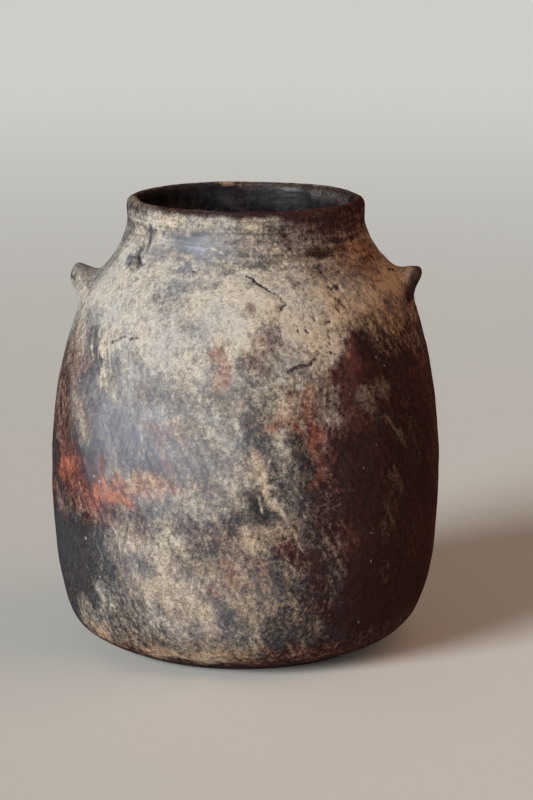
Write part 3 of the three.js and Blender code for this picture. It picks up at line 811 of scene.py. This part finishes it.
def hand_work(shape):
    """Geometry nodes that work the clay: broad dents, finger marks, burnishing strokes, grit and cuts."""
    sockets = [("Geometry", "NodeSocketGeometry")]
    g, source, result = new_group("hand work", "GeometryNodeTree", sockets, sockets)
    place = g.node("GeometryNodeInputPosition").outputs[0]
    normal = g.node("GeometryNodeInputNormal").outputs[0]
    height = g.part(place, "Z")

    def stored(name):
        reader = g.node("GeometryNodeInputNamedAttribute", {"Name": name}, data_type="FLOAT")
        return reader.outputs["Attribute"]

    dents = g.swing(g.noise(place, 55 * MM).outputs[0], shape.dent_depth)
    presses = g.swing(g.noise(place, 17 * MM).outputs[0], shape.press_depth)
    slanted = g.drawn_out(place, 5 * MM, 40 * MM, 8.0)
    steep = g.drawn_out(place, 3 * MM, 26 * MM, -3.0)
    at_neck = g.span(height, *NECK)
    slanted = g.blend(at_neck, slanted, g.wiped(place, 2.6 * MM, 22 * MM))
    steep = g.blend(at_neck, steep, g.wiped(place, 1.4 * MM, 16 * MM))
    strokes = g.add(g.swing(slanted, shape.stroke_depth), g.swing(steep, shape.stroke_depth * 0.6))
    grit = g.swing(g.noise(place, 2.2 * MM, 3.0, 0.6).outputs[0], shape.grit_depth)
    worked = g.add(dents, presses, strokes, grit)
    held = g.times(g.span(height, 0.2 * MM, 7 * MM), g.math("SUBTRACT", 1.0, stored("flange")))
    relief = g.math("SUBTRACT", g.times(worked, held), stored("cut"))
    offset = g.vector("MULTIPLY", normal, g.alike(relief))
    moved = g.node("GeometryNodeSetPosition", {"Geometry": source.outputs[0], "Offset": offset}).outputs[0]
    wander = {"Geometry": moved, "Name": "wander", "Value": g.noise(place, 9 * MM, 3.0, 0.6).outputs[1]}
    keep = g.node("GeometryNodeStoreNamedAttribute", wander, data_type="FLOAT_VECTOR", domain="POINT")
    g.tree.links.new(keep.outputs[0], result.inputs[0])
    return g.tree


def work_clay(piece, tree):
    apply_modifier(piece, "hand work", "NODES", node_group=tree)


# How far the edges of the washes wander, over the body and at the lip, between which heights that
# changes, and how far the scars wander.

WASH_DRIFT = 14 * MM
LIP_DRIFT = 4 * MM
LIP_HEIGHTS = (162 * MM, 174 * MM)
SCAR_DRIFT = 3 * MM


def drift_of(mesh):
    """How each point's paint wanders, as a share of the reach."""
    return read(mesh.attributes["wander"].data, "vector", 3) - 0.5


def paint_clay(mesh):
    """Paints the washes, scars, chalk and lime on the points of a worked piece."""
    points = points_of(mesh)
    drift = drift_of(mesh)
    reach = np.interp(points[:, 2], LIP_HEIGHTS, (WASH_DRIFT, LIP_DRIFT))
    ragged = points + drift * reach[:, None]
    bloom = bpy.context.scene.pot_finish.bloom
    for pigment, (strokes, ground) in WASHES.items():
        thickness = bloom if pigment == "dust" else 1
        store_values(mesh, pigment, (strokes_at(ragged, strokes, ground) * thickness).astype(np.float32))
    store_values(mesh, "scar", marks_at(points + drift * SCAR_DRIFT, SCARS).astype(np.float32))
    store_values(mesh, "chalk", marks_at(points, CHALK).astype(np.float32))
    lime = marks_at(points, lime_strokes((*LIME, CRATER), 0.6))
    store_values(mesh, "lime", lime.astype(np.float32))


class POT_OT_wall(bpy.types.Operator):
    """Model the whole wall as one closed sheet of clay, and work and paint it"""

    bl_idname = "pot.wall"
    bl_label = "Wall"

    def execute(self, context):
        shape = context.scene.pot_shape
        lines = WallLines()
        wall = raise_wall(lines, shape)
        mark_bands(wall, lines)
        subdivide(wall, shape.levels)
        mark_cuts(wall)
        work_clay(wall, hand_work(shape))
        paint_clay(wall.data)
        return {"FINISHED"}


# Rings of a lug from the wall to its tip, in millimetres: out and up for the middle of its upper edge,
# out and up for the middle of its lower edge, half its width, and how closely it follows the wall.

LUG_RINGS = {
    "lug_right": (
        (54.0, 158.0, 71.2, 126.5, 15.5, 1.0), (57.0, 154.4, 69.4, 132.0, 12.5, 0.9),
        (60.4, 151.7, 66.8, 138.2, 9.4, 0.3), (64.2, 151.6, 66.3, 142.0, 7.0, 0.0),
        (68.0, 151.9, 67.8, 145.0, 5.2, 0.0), (69.4, 151.2, 69.0, 147.0, 3.6, 0.0),
    ),
    "lug_left": (
        (54.0, 157.0, 71.5, 124.0, 15.5, 1.0), (56.2, 153.4, 69.4, 130.0, 12.5, 0.9),
        (57.8, 151.1, 67.0, 136.0, 9.4, 0.3), (61.8, 151.9, 66.8, 140.0, 7.0, 0.0),
        (66.2, 154.0, 68.4, 142.8, 5.4, 0.0), (68.3, 153.1, 69.9, 146.0, 3.8, 0.0),
    ),
}
LUG_SIDES = 24
TIP_ROUND = 0.6 * MM

# How far a lug's flange stands off the wall, and how far its root reaches into the wall.

FLANGE_GAP = 0.03 * MM
ROOT_DEPTH = 3 * MM

# Where the soot on a lug starts and where it is full, in millimetres out from the pot's axis at LUG_LEVEL,
# how much further in it starts for each millimetre below that level, and the height at which it ends.
# It thins out to nothing over LUG_FADE and is LUG_CHAR strong.

LUG_SOOT = {"lug_right": (62.0, 66.5, 0.45, 138.5), "lug_left": (67.0, 69.4, 0.0, 146.5)}
LUG_LEVEL = 149
LUG_FADE = 3
LUG_CHAR = 0.74


def ring_stand(side, ring):
    """A ring's middle, half its height, half its width and its tilt from upright."""
    top_out, top_up, low_out, low_up, half_width, _ = ring
    top = Vector((side * top_out, 0, top_up)) * MM
    low = Vector((side * low_out, 0, low_up)) * MM
    rise = top - low
    return (top + low) / 2, rise.length / 2, half_width * MM, math.atan2(rise.x, rise.z)


def tilt(angle, middle):
    """Tilts what is selected towards +X about a level line through a point."""
    bpy.ops.transform.rotate(value=-angle, orient_axis="Y", center_override=middle)


def model_lug(name, side):
    """One lug, extruded ring by ring, and how closely each of its points follows the wall."""
    rings = LUG_RINGS[name]
    deselect_all()
    bpy.ops.mesh.primitive_circle_add(vertices=LUG_SIDES, radius=MM)
    lug = bpy.context.object
    lug.name = name + "_clay"
    bpy.ops.object.mode_set(mode="EDIT")
    bpy.ops.mesh.select_mode(type="EDGE")
    bpy.ops.mesh.select_all(action="SELECT")
    tilt(math.pi / 2, (0, 0, 0))
    middle, reach, width, angle = Vector(), MM, MM, 0
    for number, ring in enumerate(rings):
        next_middle, next_reach, next_width, next_angle = ring_stand(side, ring)
        if number:
            bpy.ops.mesh.extrude_region_move()
        tilt(-angle, middle)
        bpy.ops.transform.resize(value=(1, next_width / width, next_reach / reach), center_override=middle)
        tilt(next_angle, middle)
        bpy.ops.transform.translate(value=next_middle - middle)
        middle, reach, width, angle = next_middle, next_reach, next_width, next_angle
    bpy.ops.mesh.extrude_region_move(TRANSFORM_OT_translate={"value": (side * TIP_ROUND, 0, 0)})
    bpy.ops.mesh.merge(type="CENTER")
    bpy.ops.object.mode_set(mode="OBJECT")
    return lug, [ring[-1] for ring in rings for _ in range(LUG_SIDES)]


class POT_OT_lugs(bpy.types.Operator):
    """Model the two lugs on the wall"""

    bl_idname = "pot.lugs"
    bl_label = "Lugs"

    def execute(self, context):
        wall = bpy.data.objects["wall_sheet"]
        for name, side in LUGS.items():
            lug, follow = model_lug(name, side)
            press_on(lug, follow, wall, context.scene.pot_shape)
            blacken_tip(lug, name)
            finish_piece(lug, name)
        return {"FINISHED"}


def press_on(lug, follow, wall, shape):
    """Presses a lug's root onto the wall, closes its back inside the wall, and works and paints it."""
    group = lug.vertex_groups.new(name="flange")
    for index, weight in enumerate(follow):
        group.add([index], float(weight), "REPLACE")
    activate(lug)
    bpy.ops.object.mode_set(mode="EDIT")
    bpy.ops.mesh.select_all(action="SELECT")
    bpy.ops.mesh.normals_make_consistent(inside=False)
    bpy.ops.object.mode_set(mode="OBJECT")
    subdivide(lug, shape.levels)
    apply_modifier(
        lug, "press", "SHRINKWRAP", target=wall, vertex_group="flange",
        wrap_method="NEAREST_SURFACEPOINT", offset=FLANGE_GAP)
    work_clay(lug, bpy.data.node_groups["hand work"])
    paint_clay(lug.data)
    match_normals(lug, wall)
    close_back(lug)


def blacken_tip(lug, name):
    """Adds the soot on a lug's tip."""
    start, full, slant, foot = LUG_SOOT[name]
    ragged = (points_of(lug.data) + drift_of(lug.data) * WASH_DRIFT / 2) / MM
    out = np.abs(ragged[:, 0]) + slant * (LUG_LEVEL - ragged[:, 2])
    above = smooth((ragged[:, 2] - foot) / LUG_FADE + 0.5)
    tip = LUG_CHAR * smooth((out - start) / (full - start)) * above
    store_values(lug.data, "soot", np.maximum(read_values(lug.data, "soot"), tip).astype(np.float32))


def match_normals(lug, wall):
    """Takes the wall's normals over at the lug's root, so that no edge shows there."""
    activate(lug)
    bpy.ops.object.shade_smooth()
    apply_modifier(
        lug, "normals", "DATA_TRANSFER", object=wall, use_loop_data=True,
        data_types_loops={"CUSTOM_NORMAL"}, loop_mapping="POLYINTERP_NEAREST", vertex_group="flange")


def close_back(lug):
    """Draws the open edge of the lug's root into the wall and fills it."""
    inward = -math.copysign(ROOT_DEPTH, lug.data.vertices[0].co.x)
    activate(lug)
    bpy.ops.object.mode_set(mode="EDIT")
    select_open_edges()
    bpy.ops.mesh.extrude_region_move(TRANSFORM_OT_translate={"value": (inward, 0, 0)})
    bpy.ops.mesh.edge_face_add()
    bpy.ops.object.mode_set(mode="OBJECT")


def cut_bands(sheet):
    """Cuts the sheet along the potter's joints into its bands, and returns them by node."""
    mesh = sheet.data
    bands = read_band_numbers(mesh)
    mesh.materials.clear()
    for name in WALL:
        mesh.materials.append(None)
    mesh.polygons.foreach_set("material_index", bands)
    keep_normals(mesh)
    activate(sheet)
    bpy.ops.mesh.separate(type="MATERIAL")
    return {WALL[read_band_numbers(piece.data)[0]]: piece for piece in bpy.context.selected_objects}


def read_band_numbers(mesh):
    return read(mesh.attributes["band"].data, "value", kind=np.int32)


def keep_normals(mesh):
    """Keeps the whole sheet's normals with its points."""
    normals = read(mesh.vertex_normals, "vector", 3)
    kept = mesh.attributes.new("skin normal", "FLOAT_VECTOR", "POINT")
    kept.data.foreach_set("vector", normals.ravel())


def close_joint(band, low, high):
    """Bridges the outer and the inner edge of one of a band's joints."""
    activate(band)
    bpy.ops.object.mode_set(mode="EDIT")
    select_open_edges()
    bpy.ops.object.mode_set(mode="OBJECT")
    edges = read(band.data.edges, "select", kind=bool)
    ends = read(band.data.edges, "vertices", 2, np.int32)
    heights = points_of(band.data)[:, 2][ends].mean(axis=1)
    edges &= (heights > low) & (heights < high)
    band.data.edges.foreach_set("select", edges)
    bpy.ops.object.mode_set(mode="EDIT")
    bpy.ops.mesh.bridge_edge_loops()
    bpy.ops.object.mode_set(mode="OBJECT")


def finish_band(band, name, lines):
    """Closes a band's joints and shades it as a part of the whole sheet."""
    skin_faces = len(band.data.polygons)
    number = WALL.index(name)
    slack = 2.5 * MM

    def close(joint):
        close_joint(band, joint - lines.lap - slack, joint + slack)

    if name != WALL[0]:
        close(lines.lows[number])
    if name != WALL[-1]:
        close(lines.tops[number])
    mesh = band.data
    mesh.update()
    mesh.polygons.foreach_set("use_smooth", np.ones(len(mesh.polygons), bool))
    corners = read(mesh.loops, "vertex_index", kind=np.int32)
    normals = read(mesh.attributes["skin normal"].data, "vector", 3)[corners]
    totals = read(mesh.polygons, "loop_total", kind=np.int32)
    joint_faces = read(mesh.polygons, "normal", 3)[skin_faces:]
    first_joint_corner = int(totals[:skin_faces].sum())
    normals[first_joint_corner:] = np.repeat(joint_faces, totals[skin_faces:], axis=0)
    mesh.normals_split_custom_set(normals)
    mesh.attributes.remove(mesh.attributes["skin normal"])
    band.name = name + "_clay"


class POT_OT_bands(bpy.types.Operator):
    """Cut the wall into the base, the strips, the shoulder, the neck and the rim"""

    bl_idname = "pot.bands"
    bl_label = "Base, strips, shoulder, neck and rim"

    def execute(self, context):
        lines = WallLines()
        for name, band in cut_bands(bpy.data.objects["wall_sheet"]).items():
            finish_band(band, name, lines)
            finish_piece(band, name)
        return {"FINISHED"}


def finish_piece(piece, node):
    """Gives a piece its clay, and sets it in the frame in its node's place."""
    piece.data.attributes.remove(piece.data.attributes["wander"])
    piece.data.materials.clear()
    piece.data.materials.append(clay_material(SLOTS[node]))
    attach(piece, BODY)
    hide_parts(node)


def skin_group():
    """Shader group of the fired skin: where dust, fire, soot, scars, lime and painted shine show, and how
    rough they are.
    """
    name = "fired skin"
    if name in bpy.data.node_groups:
        return bpy.data.node_groups[name]
    colours = [(key.capitalize(), "NodeSocketColor") for key in HUES]
    outputs = [("Color", "NodeSocketColor")]
    outputs += [(socket, "NodeSocketFloat") for socket in ("Roughness", "Coat", "Height")]
    g, source, result = new_group(name, "ShaderNodeTree", colours, outputs)
    hue = source.outputs
    place = g.node("ShaderNodeTexCoord").outputs["Object"]
    height = g.part(place, "Z")

    def painted(pigment):
        reader = g.node("ShaderNodeAttribute", attribute_type="GEOMETRY", attribute_name=pigment)
        return reader.outputs["Fac"]

    cloud = g.noise(place, 22 * MM, 3.0, 0.55).outputs[0]
    mottle = g.noise(place, 6 * MM, 4.0, 0.60).outputs[0]
    fleck = g.noise(place, 1.9 * MM, 3.0, 0.60).outputs[0]
    grain = g.noise(place, 0.8 * MM, 2.0, 0.50).outputs[0]
    at_neck = g.span(height, *NECK)
    slanted = g.blend(at_neck, g.drawn_out(place, 2.4 * MM, 26 * MM, 8.0), g.wiped(place, 2.0 * MM, 20 * MM))
    steep = g.blend(at_neck, g.drawn_out(place, 1.4 * MM, 16 * MM, -3.0), g.wiped(place, 1.1 * MM, 12 * MM))
    tint = g.noise(place, 11 * MM, 3.0, 0.6).outputs[1]

    # The polished spots get a coat, and the painted reflection of the window in their colour.
    gloss_and_reflection = g.times(painted("polish"), g.span(slanted, 0.40, 0.58, 0.5, 1.0))
    flicker = g.add(g.swing(mottle, 0.17), g.swing(slanted, 0.18), g.swing(fleck, 0.14))
    fire = g.add(painted("fire"), g.times(flicker, g.span(painted("fire"), 0.10, 0.60, 0.55, 1.0)))
    ladder = [(0.0, "Slate"), (0.28, "Umber"), (0.52, "Russet"), (0.74, "Red"), (0.98, "Orange")]
    clay = hue["Slate"]
    for (low, _), (high, step) in zip(ladder, ladder[1:]):
        clay = g.mix(g.span(fire, low, high), clay, hue[step])
    shade = g.varied(1.0, (cloud, 0.14), (steep, 0.16), (fleck, 0.30), (grain, 0.25))
    clay = g.vector("MULTIPLY", clay, g.alike(shade))

    # The ash layer, partly a painted shine of the window on the lit front left.
    film_and_shine = g.varied(0.80, (mottle, 0.12), (steep, 0.16), (slanted, 0.10))
    film_and_shine = g.math("MULTIPLY", painted("haze_and_painted_shine"), film_and_shine, True)
    film_and_shine = g.times(film_and_shine, g.span(fire, 0.35, 0.85, 1.0, 0.55))
    # On the polished spots this layer takes the painted reflection colour of the window.
    skin = g.mix(film_and_shine, clay, g.mix(gloss_and_reflection, hue["Haze_and_painted_shine"], hue["Painted_reflection"]))
    grit = g.add(g.swing(mottle, 0.18), g.swing(fleck, 0.22), g.swing(grain, 0.16))
    bare = g.add(g.times(film_and_shine, 0.28), g.span(painted("fire"), 0.55, 1.0, 0.0, 0.25))
    load = g.varied(g.add(painted("dust"), grit), (slanted, 0.13), (steep, 0.10))
    load = g.math("SUBTRACT", load, bare)
    veil = g.span(load, 0.05, 0.95)
    warm = g.part(tint, "X")
    powder = g.mix(g.span(load, 0.35, 1.20), hue["Dust"], hue["Cream"])
    powder = g.mix(g.add(g.span(warm, 0.35, 0.65, 0.0, 0.4), g.times(film_and_shine, 0.3)), powder, hue["Ash"])
    powder = g.mix(painted("tan"), powder, hue["Tan"])
    grainy = g.varied(1.0, (fleck, 0.12), (grain, 0.12), (slanted, 0.08), (steep, 0.08))
    powder = g.vector("MULTIPLY", powder, g.alike(grainy))
    skin = g.mix(g.times(veil, 0.95), skin, powder)
    specks = g.varied(g.noise(place, 1.1 * MM, 2.0, 0.5).outputs[0], (mottle, 0.06))
    ridge = g.math("ABSOLUTE", g.math("SUBTRACT", g.noise(place, 4.2 * MM, 3.0, 0.6).outputs[0], 0.5))
    veins = g.times(g.span(ridge, 0.006, 0.034, 0.40, 0.0), g.span(height, 95 * MM, 135 * MM, 1.0, 0.25))
    pepper = g.times(g.math("MAXIMUM", g.span(specks, 0.32, 0.40, 0.45, 0.0), veins), veil)
    skin = g.mix(pepper, skin, hue["Umber"])

    char = g.span(g.varied(painted("soot"), (mottle, 0.14), (fleck, 0.10), (slanted, 0.08)), 0.1, 0.95)
    skin = g.mix(char, skin, hue["Scorch"])
    ragged = g.varied(painted("scar"), (fleck, 0.46), (grain, 0.30), (steep, 0.12))
    scar = g.times(g.span(ragged, 0.38, 1.05), g.span(painted("scar"), 0.0, 0.3))
    skin = g.mix(scar, skin, g.mix(0.5, hue["Slate"], hue["Umber"]))
    skin = g.mix(g.times(painted("chalk"), g.span(fleck, 0.40, 0.60, 0.3, 1.0)), skin, hue["Cream"])
    skin = g.mix(g.times(painted("lime"), 0.6), skin, hue["Lime"])

    mouth = g.span(height, 160 * MM, 180 * MM, 0.0, 0.30)
    within = g.add(painted("inside"), g.times(painted("dust"), -0.6))
    within = g.varied(within, (mottle, 0.14), (fleck, 0.12))
    black = g.span(g.math("SUBTRACT", within, mouth), 0.30, 0.80)
    skin = g.mix(black, skin, hue["Soot"])

    rough = g.blend(veil, 0.42, 0.80)
    rough = g.blend(g.math("MAXIMUM", char, black), rough, 0.44)
    rough = g.varied(rough, (fleck, 0.07))
    pits = g.span(fleck, 0.30, 0.42, -0.05 * MM, 0.0)
    lift = g.add(g.times(veil, 0.02 * MM), g.swing(fleck, 0.03 * MM), pits, g.swing(steep, 0.02 * MM))
    coat = g.times(gloss_and_reflection, g.span(load, 0.2, 1.1, 1.0, 0.35))
    for socket, value in (("Color", skin), ("Roughness", rough), ("Coat", coat), ("Height", lift)):
        g.tree.links.new(value, result.inputs[socket])
    return g.tree


def clay_material(slot):
    """The material of one slot: the fired skin in this pot's colours."""
    name = slot.replace("_", " ") + " skin"
    if name in bpy.data.materials:
        return bpy.data.materials[name]
    material = bpy.data.materials.new(name)
    material.use_nodes = True
    g = Graph(material.node_tree)
    finish = bpy.context.scene.pot_finish
    skin = g.node("ShaderNodeGroup", node_tree=skin_group())
    for key in HUES:
        skin.inputs[key.capitalize()].default_value = (*getattr(finish, key), 1)
    bump = g.node("ShaderNodeBump", {"Height": skin.outputs["Height"], "Strength": 1.0, "Distance": 1.0})
    shader = g.tree.nodes["Principled BSDF"]
    shader.inputs["Specular IOR Level"].default_value = 0
    shader.inputs["Coat Roughness"].default_value = 0.36
    for value, socket in (
        (skin.outputs["Color"], "Base Color"), (skin.outputs["Roughness"], "Roughness"),
        (skin.outputs["Coat"], "Coat Weight"), (bump.outputs[0], "Normal"),
    ):
        g.tree.links.new(value, shader.inputs[socket])
    return material


def floor_material(stage):
    """A pale floor that grows lighter away from the pot, as the camera and reflections see it."""
    material = bpy.data.materials.new("pale floor")
    material.use_nodes = True
    g = Graph(material.node_tree)
    shader = g.tree.nodes["Principled BSDF"]
    shader.inputs["Base Color"].default_value = (*stage.floor, 1)
    shader.inputs["Roughness"].default_value = 0.9
    shader.inputs["Emission Color"].default_value = (*stage.glow, 1)
    place = g.node("ShaderNodeTexCoord").outputs["Object"]
    away = g.node("ShaderNodeVectorMath", {0: place}, operation="LENGTH").outputs["Value"]
    ray = g.node("ShaderNodeLightPath").outputs
    mirrored = g.math("MAXIMUM", ray["Is Glossy Ray"], ray["Is Transmission Ray"])
    seen = g.math("MAXIMUM", ray["Is Camera Ray"], mirrored)
    strength = g.times(seen, g.span(away, 0.1, 2.4, 0.02, 0.26))
    g.tree.links.new(strength, shader.inputs["Emission Strength"])
    return material


# The middle of the pot, the two lamps as azimuth, elevation, distance in metres and power, how wide
# each of them is, and how bright the surroundings are.

MIDDLE = Vector((0, 0, 90 * MM))
WINDOW = (-46, 20, 1.0, 3.3)
WINDOW_WIDTH = math.radians(26)
BOUNCE = (75, 46, 0.7, 1.28)
BOUNCE_WIDTH = 0.8
SKY_STRENGTH = 0.16
FLOOR_SIZE = 24

# The camera's place, its turn up from straight down, and its lens and sensor in millimetres.

CAMERA_PLACE = (8.15 * MM, -1200 * MM, 343.4 * MM)
CAMERA_TURN = (math.pi / 2 - 0.202, 0, 0)
LENS = 137.6
SENSOR = 36


def add_lamp(kind, name, azimuth, elevation, distance, power, tint):
    """A lamp that faces the middle of the pot from an azimuth and an elevation."""
    turn, rise = math.radians(azimuth), math.radians(elevation)
    away = Vector((math.sin(turn) * math.cos(rise), -math.cos(turn) * math.cos(rise), math.sin(rise)))
    bpy.ops.object.light_add(type=kind, location=MIDDLE + away * distance)
    lamp = bpy.context.object
    lamp.name = name
    lamp.data.energy = power
    lamp.data.color = tint
    lamp.rotation_euler = (-away).to_track_quat("-Z", "Y").to_euler()
    return lamp.data


def set_world(stage):
    world = bpy.data.worlds.new("plain room")
    world.use_nodes = True
    background = world.node_tree.nodes["Background"]
    background.inputs["Color"].default_value = (*stage.sky, 1)
    background.inputs["Strength"].default_value = SKY_STRENGTH
    bpy.context.scene.world = world


class POT_OT_stage(bpy.types.Operator):
    """Set the floor, the light and the camera"""

    bl_idname = "pot.stage"
    bl_label = "Stage"

    def execute(self, context):
        stage = context.scene.pot_stage
        deselect_all()
        bpy.ops.mesh.primitive_plane_add(size=FLOOR_SIZE)
        floor = context.object
        floor.name = "floor"
        floor.data.materials.append(floor_material(stage))
        set_world(stage)
        add_lamp("SUN", "window", *WINDOW, stage.window).angle = WINDOW_WIDTH
        add_lamp("AREA", "bounce", *BOUNCE, stage.bounce).size = BOUNCE_WIDTH
        bpy.ops.object.camera_add(location=CAMERA_PLACE, rotation=CAMERA_TURN)
        camera = context.object
        camera.data.lens = LENS
        camera.data.sensor_width = SENSOR
        context.scene.camera = camera
        context.scene.view_settings.view_transform = "Standard"
        return {"FINISHED"}


OPERATORS = (POT_OT_wall, POT_OT_lugs, POT_OT_bands, POT_OT_stage)


class POT_PT_panel(bpy.types.Panel):
    """The pot's pieces and sizes"""

    bl_label = "Clay cooking pot"
    bl_idname = "POT_PT_panel"
    bl_space_type = "VIEW_3D"
    bl_region_type = "UI"
    bl_category = "Pot"

    def draw(self, context):
        for operator in OPERATORS:
            self.layout.operator(operator.bl_idname)
        for group in (context.scene.pot_shape, context.scene.pot_finish, context.scene.pot_stage):
            box = self.layout.box()
            for key in type(group).__annotations__:
                box.prop(group, key)


GROUPS = {"pot_shape": PotShape, "pot_finish": PotFinish, "pot_stage": PotStage}
CLASSES = (*GROUPS.values(), *OPERATORS, POT_PT_panel)


def register():
    for cls in CLASSES:
        bpy.utils.register_class(cls)
    for name, group in GROUPS.items():
        setattr(bpy.types.Scene, name, PointerProperty(type=group))


def unregister():
    for name in GROUPS:
        delattr(bpy.types.Scene, name)
    for cls in reversed(CLASSES):
        bpy.utils.unregister_class(cls)


def main():
    register()
    bpy.ops.pot.wall()
    bpy.ops.pot.lugs()
    bpy.ops.pot.bands()
    bpy.ops.pot.stage()
    bpy.context.view_layer.update()


if __name__ == "__main__":
    main()
